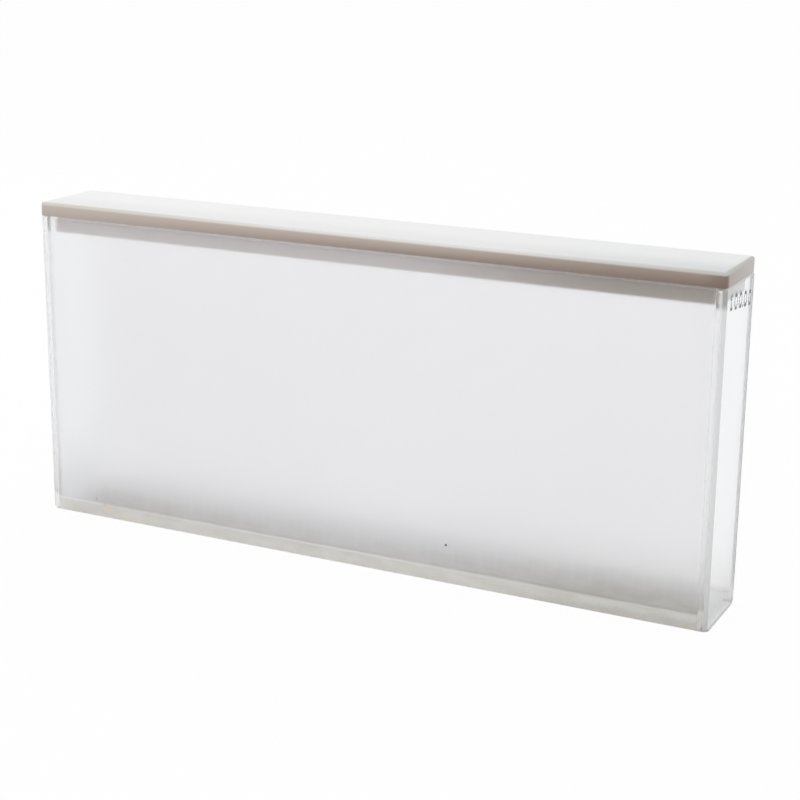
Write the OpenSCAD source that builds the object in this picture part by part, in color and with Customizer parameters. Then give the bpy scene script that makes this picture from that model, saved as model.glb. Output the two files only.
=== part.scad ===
// Rectangular spectrophotometer cell with a long light path, and its drop-in lid.
//
// The light path runs along X, the frosted side walls face -Y and +Y, and Z is up.
// The origin is the centre of the base, on the plane that the cell stands on.
// A moulded U-shaped trough forms both side walls and the floor. A polished plate
// closes each of its ends, and a stepped lid lies on the rim.

/* [Cell] */
// Light path, between the inner faces of the two windows
light_path = 100; // [20:1:150]
// Outer width, across the two frosted side walls
cell_w = 12.5; // [9:0.1:30]
// Height of the glass, from the base to the rim
cell_h = 45; // [25:0.5:80]
// Thickness of each side wall
wall_t = 1.25; // [0.8:0.05:2.5]
// Thickness of the floor
floor_t = 1.8; // [1:0.1:4]
// Outer radius of the two long lower edges
base_r = 0.6; // [0.3:0.1:3]
// Radius inside, where the side walls meet the floor
root_r = 0.6; // [0.2:0.1:1.5]

/* [Windows] */
// Thickness of each polished end window
window_t = 1.25; // [0.8:0.05:3]
// Film of clear cement between the trough and each window
bond_t = 0.02; // [0.01:0.01:0.1]
// Leg of the bevel ground along the upright outer edges of each window
window_bevel = 0.5; // [0.1:0.05:0.8]
// Leg of the facet that takes the point off each lower outer corner of a window
corner_facet = 1; // [0.8:0.1:1.2]
// Leg of the bevel ground along the outer edges of the rim
rim_bevel = 0.3; // [0.1:0.05:0.5]

/* [Lid] */
// Thickness of the plate that lies on the rim
plate_t = 2; // [1:0.1:5]
// How far the plate stays inside the outline of the glass, on each side
plate_inset = 0.1; // [0:0.05:0.5]
// Radius of the upright corners of the plate
plate_corner_r = 0.4; // [0.2:0.1:1.5]
// Radius that eases the upper edges of the plate
plate_edge_r = 0.6; // [0.1:0.1:0.9]
// Depth of the plug below the plate
plug_h = 2.4; // [1:0.1:6]
// Clearance between the plug and each side wall
plug_side_gap = 0.25; // [0.1:0.05:0.6]
// Clearance between the plug and each window
plug_end_gap = 0.4; // [0.1:0.05:1]
// Radius of the upright corners of the plug
plug_corner_r = 0.8; // [0.2:0.1:1.5]
// Leg of the lead-in bevel round the foot of the plug
plug_bevel = 0.3; // [0.1:0.05:0.6]

/* [Hidden] */

// Smoothness of every arc
$fn = 64;

// Small overrun, so that no cut ends flush with a face
over = 0.5;

// Angle between the Z axis and the diagonal of a cube
cube_diagonal = acos(1 / sqrt(3));

// Inside of the cell
mouth_w = cell_w - 2 * wall_t;

// Trough length, between the two cement films
trough_l = light_path - 2 * bond_t;

// Lid plate and plug
plate_l = light_path + 2 * window_t - 2 * plate_inset;
plate_w = cell_w - 2 * plate_inset;
plug_l = light_path - 2 * plug_end_gap;
plug_w = mouth_w - 2 * plug_side_gap;

// Colours
frosted_glass = [0.90, 0.91, 0.92];
clear_glass = [0.78, 0.88, 0.92, 0.5];
milky_plastic = [0.93, 0.92, 0.90];

// Extrudes an outline drawn in Y and Z along X, centred on the origin.
module along_x(length) {
    rotate([90, 0, 90])
        linear_extrude(length, center = true)
            children();
}

// Extrudes an outline drawn in X and Z along Y, centred on the origin.
module along_y(length) {
    rotate([90, 0, 0])
        linear_extrude(length, center = true)
            children();
}

// The waste outside a round corner of radius r, for a corner at the origin.
module round_corner_waste(r) {
    difference() {
        translate([-over, -over])
            square(r + over);
        translate([r, r])
            circle(r);
    }
}

// The waste outside a bevel with the given leg, for a corner at the origin.
module bevel_waste(leg) {
    polygon([
        [-over, -over],
        [leg + over, -over],
        [-over, leg + over]
    ]);
}

// Puts its children, drawn for a corner at the origin, at both ends of an edge of
// the given length that lies along X and is centred on the origin.
module both_ends(length) {
    for (side = [0, 1])
        mirror([side, 0])
            translate([-length / 2, 0])
                children();
}

// Rectangle of size [l, w], centred on the origin, with round corners.
module round_rectangle(l, w, r) {
    difference() {
        square([l, w], center = true);
        for (side = [0, 1])
            mirror([0, side])
                translate([0, -w / 2])
                    both_ends(l)
                        round_corner_waste(r);
    }
}

// End view of the glass, in Y and Z: round lower corners and a bevelled rim.
module glass_outline() {
    difference() {
        translate([-cell_w / 2, 0])
            square([cell_w, cell_h]);
        both_ends(cell_w)
            round_corner_waste(base_r);
        translate([0, cell_h])
            mirror([0, 1])
                both_ends(cell_w)
                    bevel_waste(rim_bevel);
    }
}

// End view of the hollow, in Y and Z, with a round root along each side wall.
module hollow_outline() {
    translate([0, floor_t])
        difference() {
            translate([-mouth_w / 2, 0])
                square([mouth_w, cell_h]);
            both_ends(mouth_w)
                round_corner_waste(root_r);
        }
}

// Side walls and floor in one piece.
module trough() {
    color(frosted_glass)
        along_x(trough_l)
            difference() {
                glass_outline();
                hollow_outline();
            }
}

// The waste outside a facet that takes the given leg off each of the three edges
// of a corner at the origin. Three legs are wide enough to clear the whole corner.
module corner_waste(leg) {
    size = 3 * leg;
    rotate([0, 0, 45])
        rotate([0, cube_diagonal, 0])
            translate([0, 0, leg / sqrt(3) - size / 2])
                cube(size, center = true);
}

// Window seen from above, in X and Y, with its outer face at X = window_t. The two
// outer corners are bevelled.
module window_plan() {
    difference() {
        translate([0, -cell_w / 2])
            square([window_t, cell_w]);
        for (side = [0, 1])
            mirror([0, side])
                translate([window_t, -cell_w / 2])
                    mirror([1, 0])
                        bevel_waste(window_bevel);
    }
}

// Window seen from the side, in X and Z. The upper outer corner is bevelled.
module window_profile() {
    difference() {
        square([window_t, cell_h]);
        translate([window_t, cell_h])
            rotate(180)
                bevel_waste(rim_bevel);
    }
}

// Polished end plate, with its inner face on X = 0 and its outer face towards +X.
module window_plate() {
    difference() {
        intersection() {
            translate([window_t / 2, 0, 0])
                along_x(window_t)
                    glass_outline();
            linear_extrude(cell_h)
                window_plan();
            along_y(cell_w)
                window_profile();
        }
        for (side = [0, 1])
            mirror([0, side, 0])
                translate([window_t, -cell_w / 2, 0])
                    mirror([1, 0, 0])
                        corner_waste(corner_facet);
    }
}

module right_window() {
    color(clear_glass)
        translate([light_path / 2, 0, 0])
            window_plate();
}

module left_window() {
    color(clear_glass)
        mirror([1, 0, 0])
            translate([light_path / 2, 0, 0])
                window_plate();
}

// Side view of a slab of size [l, h] that stands on the X axis. Its lower corners
// are bevelled and its upper ones are rounded, and a size of 0 leaves them square.
module slab_outline(l, h, foot_leg, top_r) {
    difference() {
        translate([-l / 2, 0])
            square([l, h]);
        if (foot_leg > 0)
            both_ends(l)
                bevel_waste(foot_leg);
        if (top_r > 0)
            translate([0, h])
                mirror([0, 1])
                    both_ends(l)
                        round_corner_waste(top_r);
    }
}

// Slab of size [l, w, h] on the XY plane, with round upright corners, and with a
// bevel round its foot or a radius round its top.
module slab(l, w, h, corner_r, foot_leg = 0, top_r = 0) {
    intersection() {
        linear_extrude(h)
            round_rectangle(l, w, corner_r);
        along_x(l)
            slab_outline(w, h, foot_leg, top_r);
        along_y(w)
            slab_outline(l, h, foot_leg, top_r);
    }
}

// Plate on the rim, with the plug below it in the mouth.
module lid() {
    color(milky_plastic)
        translate([0, 0, cell_h])
            union() {
                slab(plate_l, plate_w, plate_t, plate_corner_r, top_r = plate_edge_r);
                translate([0, 0, -plug_h])
                    slab(plug_l, plug_w, plug_h, plug_corner_r, foot_leg = plug_bevel);
            }
}

trough();
left_window();
right_window();
lid();
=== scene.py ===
"""Looks of a long-path spectrophotometer cell: ground and polished glass under a milky lid.

All lengths are in metres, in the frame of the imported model. X runs along the light path, the
frosted side walls face -Y and +Y, and Z is up from the base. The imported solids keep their
shape here. This script gives them their finishes and adds the digits inked on one window.
"""

import math
import random
from collections import namedtuple

import bpy
from mathutils import Matrix, Vector


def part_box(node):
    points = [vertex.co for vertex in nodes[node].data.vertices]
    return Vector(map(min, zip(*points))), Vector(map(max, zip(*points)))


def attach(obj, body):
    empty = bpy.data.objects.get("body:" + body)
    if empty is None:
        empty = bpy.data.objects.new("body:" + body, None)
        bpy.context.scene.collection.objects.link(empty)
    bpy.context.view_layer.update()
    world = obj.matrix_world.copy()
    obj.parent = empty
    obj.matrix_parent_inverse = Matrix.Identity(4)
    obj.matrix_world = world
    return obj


MM = 0.001

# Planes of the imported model: the outer face of a side wall, the rim and the right joint
Cell = namedtuple("Cell", "side rim joint")

# Three coordinates, or the three parts of a normal
Axes = namedtuple("Axes", "x y z")

# Noise whose lumps have about one size, with its detail and its stretch along X, Y and Z
Noise = namedtuple("Noise", "size detail stretch", defaults=[(1.0, 1.0, 1.0)])

# A result that goes from its first number to its second while a value crosses a span
Change = namedtuple("Change", "span result shape", defaults=[(0.0, 1.0), "SMOOTHSTEP"])

# A mark on the front wall: its middle and half size in mm, its colour and its strength
Mark = namedtuple("Mark", "x z half_length half_height colour strength")

# The surfaces of a window, each 1 in its own zone and 0 elsewhere
Zones = namedtuple("Zones", "polished edge bevel")


def mm(*lengths):
    """Lengths that are given in millimetres."""
    return tuple(length * MM for length in lengths)


def rgb(red, green, blue):
    return (red, green, blue, 1.0)


WHITE = rgb(1.0, 1.0, 1.0)

# The result of a change that fades out
FADE = (1.0, 0.0)

# Camera: the place that the picture is taken from
PICTURE_SIDE = 800
SENSOR = 36.0
FOCAL_PIXELS = 1790.8
AZIMUTH = math.radians(26.32)
ELEVATION = math.radians(15.96)
ROLL = math.radians(0.60)
TARGET = Vector((4.26, 0.0, 23.12)) * MM
DISTANCE = 247.57 * MM
CLIP_START = 0.01
CLIP_END = 20.0

# Light: the strength of the sky, and the power, side and place of each square lamp
SKY = 0.75
LAMPS = {
    "top_lamp": (0.62, 0.35, (-0.22, 0.16, 0.45)),
    "fill_lamp": (0.055, 0.10, (-0.16, -0.16, 0.08)),
}
LAMP_AIM = (0.0, 0.0, 0.03)

# Floor: how white it looks, and how white the glass sees it from the cell's shade outwards
FLOOR_SIDE = 4.0
FLOOR_PAINT = rgb(0.9, 0.9, 0.9)
FLOOR_WHITE = 0.97
SHADE_X = mm(-47, 53)
SHADE_Y = mm(-6, 6)
OUT_OF_SHADE = Change(mm(0, 8.5), (0.15, 0.9))

# Every glass. A normal that goes this far along an axis belongs to a face square to it.
GLASS_IOR = 1.5
SQUARE = 0.9

# Ground glass of the trough, and how deep its zone goes from the sides and from the base
GROUND_GLASS = rgb(0.978, 0.977, 0.988)
SIDE_DEPTH = 0.65 * MM
BASE_DEPTH = 0.05 * MM
GROUND_GRAIN = Noise(0.12 * MM, 3.0)
GROUND_CLOUD = Noise(9.0 * MM, 3.0)
GROUND_GRIT = 0.45
GRAIN_IN_GRIT = 0.08
CLOUD_IN_GRIT = 0.06
GROUND_BUMP = (0.15, 0.02 * MM)

# Dried residues and painted shade low on the side walls: a layer with a wavy top, and a dense
# foot below it
RESIDUE_AND_SHADE = rgb(0.47, 0.44, 0.365)
BACK_RESIDUE_AND_SHADE = 0.3
FILM_STREAKS = Noise(0.9 * MM, 2.0, (1.0, 1.0, 9.0))
FILM_WAVES = 1.2 * MM
FILM_FULL = 2.8 * MM
FILM_TOP = Change(mm(10, 45), mm(6.2, 7.8))
FILM_START = Change(mm(-48, -39))
FILM_LEFT = Change(mm(-35, -5), (0.7, 0.55))
FILM_RIGHT = Change(mm(-5, 45), (0.5, 1.0))
FOOT_TOP = Change(mm(1.8, 2.5), FADE)
FOOT_ALONG = Change(mm(5, 42), (0.85, 1.0))
PATCH_NOISE = Noise(3.0 * MM, 4.0, (1.6, 1.0, 0.5))
PATCHES = Change((0.35, 0.65), (0.8, 1.0))

# Marks on the front wall: stains, and two bands that darken the base on the right
BROWN = rgb(0.42, 0.30, 0.22)
GREY = rgb(0.30, 0.285, 0.25)
ORANGE = rgb(0.80, 0.62, 0.42)
BEIGE = rgb(0.72, 0.64, 0.48)
RED = rgb(0.70, 0.42, 0.36)
OLIVE = rgb(0.40, 0.40, 0.16)
SOOT = rgb(0.16, 0.17, 0.13)
BLACK = rgb(0.05, 0.045, 0.05)
FRONT_MARKS = (
    # A long grey band that darkens the base on the right
    Mark(43.0, 0.40, 20.0, 1.10, GREY, 0.60),
    Mark(-41.0, 1.55, 1.30, 0.65, ORANGE, 0.45),
    Mark(-36.9, 0.80, 2.90, 0.65, BEIGE, 0.60),
    Mark(-41.6, 2.15, 0.45, 0.30, BROWN, 0.45),
    Mark(-43.1, 2.80, 0.24, 0.36, SOOT, 0.35),
    Mark(-33.9, 1.75, 0.50, 0.36, RED, 0.40),
    Mark(36.2, 2.55, 2.60, 0.45, BROWN, 0.25),
    # A brown line that darkens the lower edge on the right
    Mark(41.5, 0.15, 6.50, 0.30, BROWN, 0.50),
    Mark(48.7, 0.25, 0.90, 0.28, OLIVE, 0.50),
)
SPECK = Mark(14.5, 5.65, 0.20, 0.20, BLACK, 1.0)
MARK_RIM = (0.4, 1.3)
MARK_NOISE = Noise(0.3 * MM, 2.0)
RAGGEDNESS = 0.9

# Windows: polished faces, fine-ground edges and coarse bevels that look white from outside
CLEAN_GLASS = rgb(0.97, 0.98, 0.985)
WINDOW_GRAIN = Noise(0.15 * MM, 3.0)
SMUDGE_NOISE = Noise(5.0 * MM, 4.0)
SMUDGES = Change((0.45, 0.8), (0.0, 0.03))
EDGE_GRIT = Change((0.3, 0.7), (0.17, 0.23))
BEVEL_GRIT = Change((0.3, 0.7), (0.90, 1.00))
BEVEL_BUMP = (0.1, 0.02 * MM)
BEVEL_COLOURS = (rgb(0.95, 0.955, 0.965), WHITE)
BEVEL_TO_SIDE = Change(mm(-0.5, -0.05))
EDGE_CLEARNESS = 0.5
BEVEL_CLEARNESS = 0.15
UNDERSIDE_CLEARNESS = 0.4

# Films and painted shade on the windows: one all over, and two on the edges. Each is denser low
# down.
WINDOW_FILM_AND_SHADE = rgb(0.72, 0.72, 0.725)
WINDOW_FILM_AND_SHADE_UP = Change(mm(0.5, 20), FADE, "LINEAR")
WINDOW_FILM_AND_SHADE_POWER = 3.0
FAINT_FILM_AND_SHADE = rgb(0.90, 0.90, 0.90)
FAINT_FILM_AND_SHADE_UP = Change(mm(10, 20), (1.0, 0.3))
FAINT_FILM_AND_SHADE_LEFT = 0.5
EDGE_FILM_AND_SHADE = rgb(0.50, 0.487, 0.465)
EDGE_FILM_AND_SHADE_UP = Change(mm(2, 12), FADE, "LINEAR")
EDGE_FILM_AND_SHADE_POWER = 2.0

# Shade of the plug on the front of the right window: up to the rim, and along from the joint
PLUG_SHADE = rgb(0.30, 0.28, 0.26)
PLUG_SHADE_UP = Change(mm(-3.1, -1.9))
PLUG_SHADE_ALONG = Change(mm(0, 0.6), FADE)
BEVEL_SHADE = rgb(0.55, 0.535, 0.525)
FRONTWARD = -0.5

# Lid: white plastic in painted shade. A pair of colours goes from left to right, and on its top
# and ends from front to back
TOP_LEFT = (rgb(0.80, 0.80, 0.80), rgb(0.87, 0.87, 0.87))
TOP_RIGHT = (rgb(0.66, 0.67, 0.68), rgb(0.84, 0.845, 0.85))
TOP_ACROSS = Change(mm(-6, 2))
TOP_ALONG = Change(mm(20, 52), shape="LINEAR")
EASED_LEFT = (rgb(0.69, 0.65, 0.59), rgb(0.815, 0.80, 0.78))
EASED_RIGHT = rgb(0.596, 0.575, 0.53)
EASED_ALONG = Change(mm(-50, 0))
# Sides and ends of the white plate, in painted shade
SIDE_LOW = (rgb(0.46, 0.395, 0.355), rgb(0.245, 0.185, 0.155))
SIDE_HIGH = (rgb(0.57, 0.485, 0.415), rgb(0.40, 0.315, 0.255))
SIDE_CORNER_SHADE = rgb(0.20, 0.145, 0.12)
SIDE_LOW_ALONG = Change(mm(-45, 48), shape="LINEAR")
SIDE_HIGH_ALONG = Change(mm(8, 44))
SIDE_TO_CORNER_SHADE = Change(mm(47.5, 50.8), (0.0, 0.65))
END_COLOURS = (rgb(0.50, 0.43, 0.40), rgb(0.64, 0.60, 0.59))
END_ACROSS = Change(mm(-6, 6), shape="LINEAR")
END_PAST_CORNER = Change(mm(-5.6, -4.9))
# The plug's side: near white on the left, and in painted shade to the right
PLUG_SIDE = (rgb(0.90, 0.845, 0.815), rgb(0.565, 0.505, 0.445))
PLUG_SIDE_ALONG = Change(mm(3, 41))
PLUG_END = rgb(0.97, 0.96, 0.96)

# Zones of the lid: by the normal, and by the height above the rim
UPWARD = Change((0.8, 1.0))
EASED = Change((0.1, 0.5))
ENDWARD = Change((0.6, 0.9))
UP_TO_EASED = Change(mm(1.4, 1.7))
UP_THE_SIDE = Change(mm(0.25, 1.55), shape="LINEAR")
PLUG_TOP = -0.01 * MM

# Surface of the lid: fine cuts along X and a faint cloudiness
LID_CUTS = Noise(0.10 * MM, 3.0, (60.0, 1.0, 1.0))
LID_CLOUD = Noise(6.0 * MM, 4.0)
LID_TONE = 0.975
CUTS_IN_TONE = 0.02
CLOUD_IN_TONE = 0.03
LID_GRIT = Change((0.2, 0.8), (0.42, 0.52))
LID_BUMP = (0.25, 0.015 * MM)

# Ink, dark where it is thick
DARK_INK = rgb(0.010, 0.006, 0.016)
THIN_INK = rgb(0.06, 0.03, 0.10)
INK_NOISE = Noise(0.2 * MM, 3.0)
INK_THINS = Change((0.45, 0.75))
INK_GRIT = Change((0.0, 1.0), (0.5, 0.7))
INK_SPECULAR = 0.1

# Digits on the right window: the length of the light path, with the Y of each sign in mm
SIGNS = (("1", -3.90), ("0", -1.93), ("0", 0.05), (".", 1.17), ("0", 2.28), ("0", 4.26))
DOT_ROWS = {
    "0": (" ooo ", "o   o", "o   o", "o   o", " ooo "),
    "1": ("  o  ", " oo  ", "  o  ", "  o  ", " ooo "),
    ".": ("     ", "     ", "     ", "     ", "  o  "),
}
MIDDLE_DOT = 2
DIGITS_HEIGHT = 42.42 * MM
DIGITS_FALL = -0.109
ROW_STEP = 0.39 * MM
COLUMN_STEP = 0.28 * MM

# Drops of ink: round, a little lobed and domed, and just inside the face of the glass
DROP_RADIUS = 0.20 * MM
ROW_WEIGHTS = (1.2, 0.85, 0.85, 0.85, 1.2)
DROP_SIDES = 18
DROP_DEPTHS = (14e-6, 5e-6)
DROP_RINGS = (1.0, 0.96, 0.62)
DROP_LOBES = 3
LOBE_HEIGHT = 0.05
LOBE_SHIFT = 40
DROP_STRAY = 0.02 * MM
DROP_SPREAD = (0.9, 1.1)
DROP_TURN = 0.3
SEED = 11


class Value:
    """What a node gives at each point. Numbers work in sums, and each step adds a node."""

    def __init__(self, shader, socket):
        self.shader = shader
        self.socket = socket

    def __abs__(self):
        return self.shader.math("ABSOLUTE", self)

    def __add__(self, other):
        return self.shader.math("ADD", self, other)

    def __radd__(self, other):
        return self.shader.math("ADD", other, self)

    def __sub__(self, other):
        return self.shader.math("SUBTRACT", self, other)

    def __rsub__(self, other):
        return self.shader.math("SUBTRACT", other, self)

    def __mul__(self, other):
        return self.shader.math("MULTIPLY", self, other)

    def __truediv__(self, other):
        return self.shader.math("DIVIDE", self, other)

    def __pow__(self, power):
        return self.shader.math("POWER", self, power)

    def above(self, limit):
        """1 where the number is above the limit, and 0 elsewhere."""
        return self.shader.math("GREATER_THAN", self, limit)

    def below(self, limit):
        """1 where the number is below the limit, and 0 elsewhere."""
        return self.shader.math("LESS_THAN", self, limit)


def larger(a, b):
    """The larger of a value and a number. Of two zones, it is all that they cover."""
    return a.shader.math("MAXIMUM", a, b)


def centred(noise, amount):
    """Noise that goes up and down from 0, by up to half the amount."""
    return (noise - 0.5) * amount


class Shader:
    """Builds the nodes of one material or world, with short names for the usual ones."""

    def __init__(self, owner):
        owner.use_nodes = True
        self.tree = owner.node_tree
        self.tree.nodes.clear()

    def add(self, kind, inputs=(), **settings):
        """Adds a node. An input is linked to a Value, and otherwise set to what is given."""
        node = self.tree.nodes.new(kind)
        for name, setting in settings.items():
            setattr(node, name, setting)
        for name, source in dict(inputs).items():
            if isinstance(source, Value):
                self.tree.links.new(source.socket, node.inputs[name])
            else:
                node.inputs[name].default_value = source
        return node

    def value(self, kind, output, inputs=(), **settings):
        """Adds a node and gives one of its outputs."""
        return Value(self, self.add(kind, inputs, **settings).outputs[output])

    def math(self, operation, *numbers):
        return self.value("ShaderNodeMath", 0, enumerate(numbers), operation=operation)

    def root(self, number):
        return self.math("SQRT", number)

    def ramp(self, value, change):
        """The result of a change at this value."""
        names = ("Value", "From Min", "From Max", "To Min", "To Max")
        inputs = zip(names, (value, *change.span, *change.result))
        shape = change.shape
        return self.value("ShaderNodeMapRange", 0, inputs, interpolation_type=shape, clamp=True)

    # Sockets of a Mix node: input 0 is the share. Inputs 2 and 3 and output 0 are numbers,
    # and inputs 6 and 7 and output 2 are colours.

    def between(self, share, a, b):
        """Goes from one number to another as the share goes from 0 to 1."""
        return self.value("ShaderNodeMix", 0, {0: share, 2: a, 3: b}, data_type="FLOAT")

    def blend(self, share, a, b, how="MIX"):
        """Goes from one colour to another as the share goes from 0 to 1."""
        inputs = {0: share, 6: a, 7: b}
        return self.value("ShaderNodeMix", 2, inputs, data_type="RGBA", blend_type=how)

    def axes(self, name):
        """The X, Y and Z of one of the object's own coordinates: Object or Normal."""
        coordinates = self.value("ShaderNodeTexCoord", name)
        split = self.add("ShaderNodeSeparateXYZ", {0: coordinates})
        return Axes(*(Value(self, socket) for socket in split.outputs))

    def ray(self, name):
        """1 for rays of one kind, such as Camera, and 0 for all others."""
        return self.value("ShaderNodeLightPath", f"Is {name} Ray")

    def noise(self, pattern):
        """A number from 0 to 1 that varies over the object."""
        scale = [1.0 / (pattern.size * stretch) for stretch in pattern.stretch]
        place = self.value("ShaderNodeTexCoord", "Object")
        place = self.value("ShaderNodeMapping", 0, {"Vector": place, "Scale": scale})
        inputs = {"Vector": place, "Scale": 1.0, "Detail": pattern.detail}
        return self.value("ShaderNodeTexNoise", 0, inputs)

    def bump(self, height, strength, depth):
        inputs = {"Height": height, "Strength": strength, "Distance": depth}
        return self.value("ShaderNodeBump", 0, inputs)

    def mixed(self, share, a, b):
        """Goes from one shader to another as the share goes from 0 to 1."""
        return self.value("ShaderNodeMixShader", 0, {0: share, 1: a, 2: b})

    def principled(self, **inputs):
        """The usual shader. An input's name is written with _ for each space."""
        named = {name.replace("_", " "): source for name, source in inputs.items()}
        return self.value("ShaderNodeBsdfPrincipled", 0, named)

    def finish(self, surface, kind="Material"):
        self.add("ShaderNodeOutput" + kind, {"Surface": surface})


def new_material(name):
    material = bpy.data.materials.new(name)
    return material, Shader(material)


def add_object(name, data):
    thing = bpy.data.objects.new(name, data)
    bpy.context.scene.collection.objects.link(thing)
    return thing


def make_camera():
    """Puts the camera at its distance from the target and turns it by its roll."""
    ahead = math.cos(ELEVATION)
    back = Vector((math.sin(AZIMUTH) * ahead, -math.cos(AZIMUTH) * ahead, math.sin(ELEVATION)))
    level = Vector((0, 0, 1)).cross(back).normalized()
    upright = back.cross(level)
    right = math.cos(ROLL) * level + math.sin(ROLL) * upright
    up = math.cos(ROLL) * upright - math.sin(ROLL) * level
    data = bpy.data.cameras.new("camera")
    data.sensor_width = SENSOR
    data.lens = FOCAL_PIXELS * SENSOR / PICTURE_SIDE
    data.clip_start = CLIP_START
    data.clip_end = CLIP_END
    camera = add_object("camera", data)
    turn = Matrix((right, up, back)).transposed().to_4x4()
    camera.matrix_world = Matrix.Translation(TARGET + back * DISTANCE) @ turn
    bpy.context.scene.camera = camera


def make_world():
    """White for what is seen, and a soft sky for what is lit."""
    world = bpy.data.worlds.new("world")
    bpy.context.scene.world = world
    s = Shader(world)
    sky = s.value("ShaderNodeBackground", 0, {"Color": WHITE, "Strength": SKY})
    seen = s.value("ShaderNodeBackground", 0, {"Color": WHITE})
    share = larger(larger(s.ray("Camera"), s.ray("Glossy")), s.ray("Transmission"))
    s.finish(s.mixed(share, sky, seen), "World")


def shade_distance(s):
    """How far a point of the floor lies outside the cell's shade."""
    place = s.axes("Object")
    squares = []
    for coordinate, (low, high) in ((place.x, SHADE_X), (place.y, SHADE_Y)):
        middle = (low + high) / 2
        step = larger(abs(coordinate - middle) - (high - low) / 2, 0.0)
        squares.append(step * step)
    return s.root(squares[0] + squares[1])


def floor_paint():
    """A pale matte floor that looks white, and that the glass sees shaded near the cell."""
    material, s = new_material("floor")
    paint = s.value("ShaderNodeBsdfDiffuse", 0, {"Color": FLOOR_PAINT})
    white = s.value("ShaderNodeEmission", 0, {"Color": WHITE})
    refracted = s.ray("Transmission")
    mirrored = s.ray("Glossy") * (1.0 - refracted)
    direct = larger(s.ray("Camera"), mirrored) * FLOOR_WHITE
    through_glass = refracted * s.ramp(shade_distance(s), OUT_OF_SHADE)
    s.finish(s.mixed(direct + through_glass, paint, white))
    return material


def make_floor():
    half = FLOOR_SIDE / 2
    corners = [(-half, -half, 0), (half, -half, 0), (half, half, 0), (-half, half, 0)]
    mesh = bpy.data.meshes.new("floor")
    mesh.from_pydata(corners, [], [(0, 1, 2, 3)])
    mesh.materials.append(floor_paint())
    add_object("floor", mesh)


def make_lamp(name, energy, size, place):
    data = bpy.data.lights.new(name, "AREA")
    data.energy = energy
    data.size = size
    lamp = add_object(name, data)
    lamp.location = place
    away = Vector(place) - Vector(LAMP_AIM)
    lamp.rotation_euler = away.to_track_quat("Z", "Y").to_euler()


def ground_zone(s, place, side):
    """The ground outside of the trough, without its polished inside and its ends."""
    underside = place.z.below(BASE_DEPTH)
    end = abs(s.axes("Normal").x).above(SQUARE)
    return larger(larger(side, underside) - end, 0.0)


def residue_and_shade(s, place):
    """How dense the residues and painted shade are: a layer with a wavy top and a foot, weaker
    on the back wall.
    """
    waves = centred(s.noise(FILM_STREAKS), FILM_WAVES)
    film_up = Change((FILM_FULL, s.ramp(place.x, FILM_TOP)), FADE)
    film_along = larger(s.ramp(place.x, FILM_LEFT), s.ramp(place.x, FILM_RIGHT))
    film_and_shade = s.ramp(place.z + waves, film_up) * film_along * s.ramp(place.x, FILM_START)
    foot = s.ramp(place.z, FOOT_TOP) * s.ramp(place.x, FOOT_ALONG)
    patches = s.ramp(s.noise(PATCH_NOISE), PATCHES)
    return larger(film_and_shade, foot) * patches * s.between(place.y.below(0.0), BACK_RESIDUE_AND_SHADE, 1.0)


def mark_density(s, mark, place, ragged):
    """How dense a mark is: full in its middle, with a ragged and fading rim."""
    across = (place.x - mark.x * MM) / (mark.half_length * MM)
    up = (place.z - mark.z * MM) / (mark.half_height * MM)
    distance = s.root(across * across + up * up) + ragged
    return s.ramp(distance, Change(MARK_RIM, (mark.strength, 0.0)))


def frosted_glass(cell):
    """Ground on the outside, polished inside, with dried residues, painted shade and marks low
    down.
    """
    material, s = new_material("frosted_glass")
    place = s.axes("Object")
    side = abs(place.y).above(cell.side - SIDE_DEPTH)
    front = place.y.below(SIDE_DEPTH - cell.side)
    ground = ground_zone(s, place, side)
    grain = s.noise(GROUND_GRAIN)
    cloud = s.noise(GROUND_CLOUD)
    grit = GROUND_GRIT + centred(grain, GRAIN_IN_GRIT) + centred(cloud, CLOUD_IN_GRIT)
    ragged = centred(s.noise(MARK_NOISE), RAGGEDNESS)
    # Residues and painted shade darken the side walls towards the base
    colour = s.blend(residue_and_shade(s, place) * side, GROUND_GLASS, RESIDUE_AND_SHADE)
    for front_mark in FRONT_MARKS:
        density = mark_density(s, front_mark, place, ragged) * front
        colour = s.blend(density, colour, front_mark.colour)
    speck = mark_density(s, SPECK, place, ragged) * front
    glass = s.principled(
        IOR=GLASS_IOR,
        Base_Color=s.blend(speck, colour, SPECK.colour),
        Roughness=ground * grit,
        Transmission_Weight=1.0 - speck,
        Normal=s.bump(grain * ground, *GROUND_BUMP),
    )
    s.finish(glass)
    return material


def window_zones(normal):
    polished = abs(normal.x).above(SQUARE)
    edge = larger(abs(normal.y), abs(normal.z)).above(SQUARE)
    return Zones(polished, edge, 1.0 - larger(polished, edge))


def window_films_and_shade(s, place, edge, right):
    """How dense each of the films and painted shades is, with its colour. The densest is on the
    right window's edges.
    """
    film_and_shade = s.ramp(place.z, WINDOW_FILM_AND_SHADE_UP) ** WINDOW_FILM_AND_SHADE_POWER
    faint_film_and_shade = edge * s.ramp(place.z, FAINT_FILM_AND_SHADE_UP) * s.between(right, FAINT_FILM_AND_SHADE_LEFT, 1.0)
    edge_film_and_shade = s.ramp(place.z, EDGE_FILM_AND_SHADE_UP) ** EDGE_FILM_AND_SHADE_POWER * (edge * right)
    return (film_and_shade, WINDOW_FILM_AND_SHADE), (faint_film_and_shade, FAINT_FILM_AND_SHADE), (edge_film_and_shade, EDGE_FILM_AND_SHADE)


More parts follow.
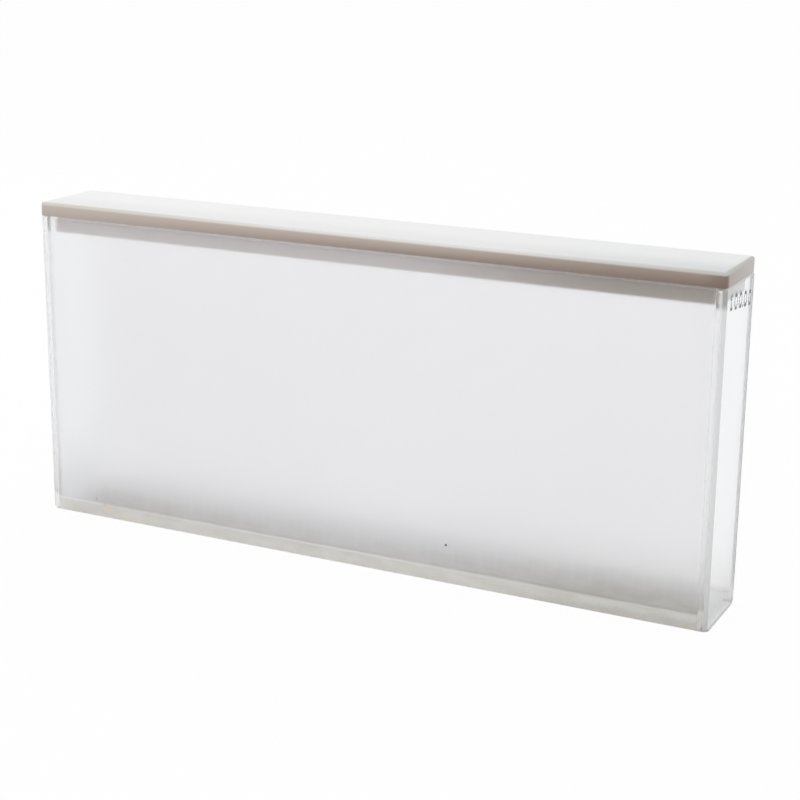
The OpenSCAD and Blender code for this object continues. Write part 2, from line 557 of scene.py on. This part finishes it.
def window_colour(s, place, normal, zones, cell):
    """Clean glass and pale bevels, under the films and painted shade and, near the lid, in the
    plug's painted shade.
    """
    right = place.x.above(0.0)
    to_side = s.ramp(abs(place.y) - cell.side, BEVEL_TO_SIDE)
    colour = s.blend(zones.bevel, CLEAN_GLASS, s.blend(to_side, *BEVEL_COLOURS))
    for density, film_and_shade_colour in window_films_and_shade(s, place, zones.edge, right):
        colour = s.blend(density, colour, film_and_shade_colour)
    shade = s.ramp(place.z - cell.rim, PLUG_SHADE_UP) * normal.y.below(FRONTWARD) * right
    on_edge = shade * zones.edge * s.ramp(place.x - cell.joint, PLUG_SHADE_ALONG)
    colour = s.blend(on_edge, colour, PLUG_SHADE)
    return s.blend(shade * zones.bevel, colour, BEVEL_SHADE)


def window_grit(s, zones, grain):
    """How rough a window is: its polished faces have no more than faint smudges."""
    polished = zones.polished * s.ramp(s.noise(SMUDGE_NOISE), SMUDGES)
    edge = zones.edge * s.ramp(grain, EDGE_GRIT)
    bevel = zones.bevel * s.ramp(grain, BEVEL_GRIT)
    return polished + edge + bevel


def window_clearness(s, normal, zones):
    """How clear a window is. From outside, its edges, bevels and underside scatter light."""
    outside = 1.0 - s.value("ShaderNodeNewGeometry", "Backfacing")
    clearness = s.between(zones.edge * outside, 1.0, EDGE_CLEARNESS)
    clearness = s.between(zones.bevel * outside, clearness, BEVEL_CLEARNESS)
    return s.between(normal.z.below(-SQUARE), clearness, UNDERSIDE_CLEARNESS)


def clear_glass(cell):
    """Polished faces, fine-ground edges and coarser bevels that look white from outside."""
    material, s = new_material("clear_glass")
    normal = s.axes("Normal")
    zones = window_zones(normal)
    grain = s.noise(WINDOW_GRAIN)
    glass = s.principled(
        IOR=GLASS_IOR,
        Base_Color=window_colour(s, s.axes("Object"), normal, zones, cell),
        Roughness=window_grit(s, zones, grain),
        Transmission_Weight=window_clearness(s, normal, zones),
        Normal=s.bump(grain * zones.bevel, *BEVEL_BUMP),
    )
    s.finish(glass)
    return material


def lid_top(s, place):
    """Near white, and greyer to the front and to the right, in painted shade."""
    across = s.ramp(place.y, TOP_ACROSS)
    left = s.blend(across, *TOP_LEFT)
    right = s.blend(across, *TOP_RIGHT)
    return s.blend(s.ramp(place.x, TOP_ALONG), left, right)


def lid_eased_edge(s, place):
    """The rounded upper edges of the plate: darker at both ends, in painted shade."""
    left = s.blend(s.ramp(place.x, EASED_ALONG), *EASED_LEFT)
    return s.blend(s.ramp(place.x, TOP_ALONG), left, EASED_RIGHT)


def lid_side(s, place, above_rim, end):
    """The upright sides of the plate: in painted shade, darker to the right, low down and at
    the corner.
    """
    low = s.blend(s.ramp(place.x, SIDE_LOW_ALONG), *SIDE_LOW)
    high = s.blend(s.ramp(place.x, SIDE_HIGH_ALONG), *SIDE_HIGH)
    long_side = s.blend(s.ramp(above_rim, UP_THE_SIDE), low, high)
    long_side = s.blend(s.ramp(place.x, SIDE_TO_CORNER_SHADE), long_side, SIDE_CORNER_SHADE)
    end_side = s.blend(s.ramp(place.y, END_ACROSS), *END_COLOURS)
    return s.blend(end * s.ramp(place.y, END_PAST_CORNER), long_side, end_side)


def lid_colour_and_painted_shade(s, place, normal, cell):
    """Gives each zone of the lid its colour and painted shade: top, eased edges, sides and
    plug.
    """
    above_rim = place.z - cell.rim
    end = s.ramp(abs(normal.x), ENDWARD)
    eased = larger(s.ramp(normal.z, EASED), s.ramp(above_rim, UP_TO_EASED))
    around = s.blend(eased, lid_side(s, place, above_rim, end), lid_eased_edge(s, place))
    plate = s.blend(s.ramp(normal.z, UPWARD), around, lid_top(s, place))
    plug_side = s.blend(s.ramp(place.x, PLUG_SIDE_ALONG), *PLUG_SIDE)
    plug = s.blend(end, plug_side, PLUG_END)
    return s.blend(above_rim.below(PLUG_TOP), plate, plug)


def milky_plastic(cell):
    """A machined lid of white plastic: near white above, and warmer and darker on its sides in
    painted shade.
    """
    material, s = new_material("milky_plastic")
    colour = lid_colour_and_painted_shade(s, s.axes("Object"), s.axes("Normal"), cell)
    cuts = s.noise(LID_CUTS)
    tone = cuts * CUTS_IN_TONE + s.noise(LID_CLOUD) * CLOUD_IN_TONE + LID_TONE
    plastic = s.principled(
        Base_Color=s.blend(1.0, colour, tone, "MULTIPLY"),
        Roughness=s.ramp(cuts, LID_GRIT),
        Normal=s.bump(cuts, *LID_BUMP),
    )
    s.finish(plastic)
    return material


def ink():
    """Dried ink, thinner and more purple in places."""
    material, s = new_material("ink")
    thin = s.ramp(s.noise(INK_NOISE), INK_THINS)
    paint = s.principled(
        Specular_IOR_Level=INK_SPECULAR,
        Base_Color=s.blend(thin, DARK_INK, THIN_INK),
        Roughness=s.ramp(thin, INK_GRIT),
    )
    s.finish(paint)
    return material


def drop_centres():
    """Y, Z and radius of every drop. The line of digits falls slightly towards the back."""
    for sign, place in SIGNS:
        for row, line in enumerate(DOT_ROWS[sign]):
            for column, dot in enumerate(line):
                if dot == "o":
                    y = place * MM + (column - MIDDLE_DOT) * COLUMN_STEP
                    z = DIGITS_HEIGHT + y * DIGITS_FALL + (MIDDLE_DOT - row) * ROW_STEP
                    yield y, z, DROP_RADIUS * ROW_WEIGHTS[row]


def drop_points(outer_x, y, z, radius, turn):
    """The rings of one low, slightly domed drop, just inside the window's outer face."""
    deep, shallow = (outer_x - depth for depth in DROP_DEPTHS)
    for x, scale in zip((deep, (deep + shallow) / 2, shallow), DROP_RINGS):
        for i in range(DROP_SIDES):
            angle = turn + math.tau * i / DROP_SIDES
            lobe = LOBE_HEIGHT * math.sin(DROP_LOBES * angle + LOBE_SHIFT * turn)
            reach = radius * scale * (1 + lobe)
            yield x, y + reach * math.cos(angle), z + reach * math.sin(angle)


def drop_faces(first):
    """The faces of one drop: the strips between its rings, its back and its front."""
    starts = [first + ring * DROP_SIDES for ring in range(len(DROP_RINGS))]
    rings = [[start + i for i in range(DROP_SIDES)] for start in starts]
    for low, high in zip(rings, rings[1:]):
        for i in range(DROP_SIDES):
            j = (i + 1) % DROP_SIDES
            yield low[i], low[j], high[j], high[i]
    yield rings[0][::-1]
    yield rings[-1]


def add_digits():
    """Prints the digits on the outer face of the right window."""
    outer_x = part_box("right_window")[1].x
    chance = random.Random(SEED)
    points, faces = [], []
    for y, z, radius in drop_centres():
        y += chance.uniform(-DROP_STRAY, DROP_STRAY)
        z += chance.uniform(-DROP_STRAY, DROP_STRAY)
        radius *= chance.uniform(*DROP_SPREAD)
        turn = chance.uniform(0, DROP_TURN)
        faces.extend(drop_faces(len(points)))
        points.extend(drop_points(outer_x, y, z, radius, turn))
    mesh = bpy.data.meshes.new("printed_digits")
    mesh.from_pydata(points, [], faces)
    mesh.materials.append(ink())
    piece = add_object("printed_digits", mesh)
    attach(piece, "root")


def dress(node, material):
    node.data.materials.clear()
    node.data.materials.append(material)


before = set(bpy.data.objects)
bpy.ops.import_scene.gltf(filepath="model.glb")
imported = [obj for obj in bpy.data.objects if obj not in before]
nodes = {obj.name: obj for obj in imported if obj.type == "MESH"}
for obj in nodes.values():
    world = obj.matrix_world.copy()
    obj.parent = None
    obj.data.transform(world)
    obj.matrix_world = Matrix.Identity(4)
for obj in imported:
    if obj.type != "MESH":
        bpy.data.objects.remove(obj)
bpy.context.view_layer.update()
bpy.context.scene.view_settings.view_transform = "Standard"

make_camera()
make_world()
make_floor()
for lamp_name, lamp in LAMPS.items():
    make_lamp(lamp_name, *lamp)

trough_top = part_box("trough")[1]
cell = Cell(trough_top.y, trough_top.z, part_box("right_window")[0].x)
window_glass = clear_glass(cell)
dress(nodes["trough"], frosted_glass(cell))
dress(nodes["left_window"], window_glass)
dress(nodes["right_window"], window_glass)
dress(nodes["lid"], milky_plastic(cell))
add_digits()
